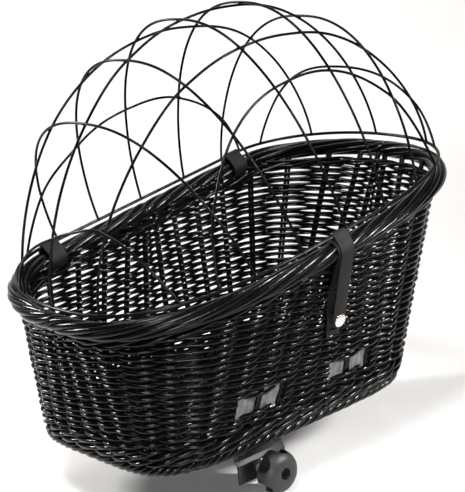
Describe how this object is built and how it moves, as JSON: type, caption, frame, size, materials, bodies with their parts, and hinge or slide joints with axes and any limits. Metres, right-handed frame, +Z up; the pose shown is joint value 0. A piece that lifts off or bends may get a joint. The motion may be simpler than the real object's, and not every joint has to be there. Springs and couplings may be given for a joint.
{
  "type": "dog bicycle basket",
  "caption": "Woven wicker dog basket for a bicycle rack: slanted tub, hinged wire hood, leather loops and snap strap, reflective cloth windows and a rack clamp with a star knob.",
  "frame": {"origin": "centre of the outline seen from above, at the level of the lowest point, which is the underside of the knob", "axes": "+X to the high end of the basket, -Y to the long side with the strap and the knob, +Z up, square to the basket's base"},
  "size_m": [0.5987, 0.406, 0.5741],
  "materials": {
    "willow": "black glossy lacquer",
    "wire": "black satin coat",
    "leather": "matt dark leather",
    "reflective_cloth": "woven reflective grey",
    "snap_metal": "polished nickel",
    "clamp_steel": "black satin powder coat",
    "zinc": "bright zinc plate",
    "knob_plastic": "dark satin nylon"
  },
  "bodies": {
    "basket": {"basket_wall": "willow", "top_border": "willow", "foot_border": "willow", "basket_base": "willow", "reflective_band_near_low": "reflective_cloth", "reflective_band_near_high": "reflective_cloth", "reflective_band_far_low": "reflective_cloth", "reflective_band_far_high": "reflective_cloth", "hinge_loop_low": "leather", "hinge_loop_high": "leather", "strap_tab": "leather", "snap_stud": "snap_metal", "clamp_plate": "clamp_steel", "guide_rail_low": "clamp_steel", "guide_rail_high": "clamp_steel", "fixed_hook": "clamp_steel", "clamp_rod": "zinc", "rod_nut_inner": "zinc", "rod_nut_outer": "zinc", "base_strip_near": "clamp_steel", "base_strip_far": "clamp_steel", "base_bolt_1": "zinc", "base_bolt_2": "zinc", "base_bolt_3": "zinc", "base_bolt_4": "zinc", "base_nut_1": "zinc", "base_nut_2": "zinc", "base_nut_3": "zinc", "base_nut_4": "zinc"},
    "hood": {"hood_rim_wire": "wire", "hood_cross_arch_1": "wire", "hood_cross_arch_2": "wire", "hood_cross_arch_3": "wire", "hood_cross_arch_4": "wire", "hood_cross_arch_5": "wire", "hood_cross_arch_6": "wire", "hood_cross_arch_7": "wire", "hood_long_arch_1": "wire", "hood_long_arch_2": "wire", "hood_long_arch_3": "wire", "hood_long_arch_4": "wire", "hood_long_arch_5": "wire"},
    "strap": {"front_strap": "leather", "snap_cap": "snap_metal"},
    "jaw": {"sliding_jaw": "clamp_steel", "clamp_washer": "zinc", "clamp_collar": "zinc"},
    "knob": {"star_knob": "knob_plastic"}
  },
  "joints": [
    {"name": "hood_hinge", "type": "hinge", "parent": "basket", "child": "hood", "pos_m": [0.0027, 0.188, 0.309], "axis": [-0.9889, 0, -0.1488], "range_deg": [0, 105], "deforming": ["front_strap", "snap_cap"]},
    {"name": "strap_swing", "type": "hinge", "parent": "hood", "child": "strap", "pos_m": [-0.00027, -0.188, 0.30855], "axis": [-0.9889, 0, -0.1488], "range_deg": [0, 120]},
    {"name": "jaw_slide", "type": "slide", "parent": "basket", "child": "jaw", "axis": [0, 1, 0], "range_m": [0, 0.045]},
    {"name": "knob_turn", "type": "hinge", "parent": "jaw", "child": "knob", "pos_m": [-0.096, -0.147, 0.027], "axis": [0, 1, 0], "range_deg": [0, 12960]}
  ],
  "couplings": [
    {"joint": "knob_turn", "follows": "jaw_slide", "rad_per_m": 5026.5}
  ]
}
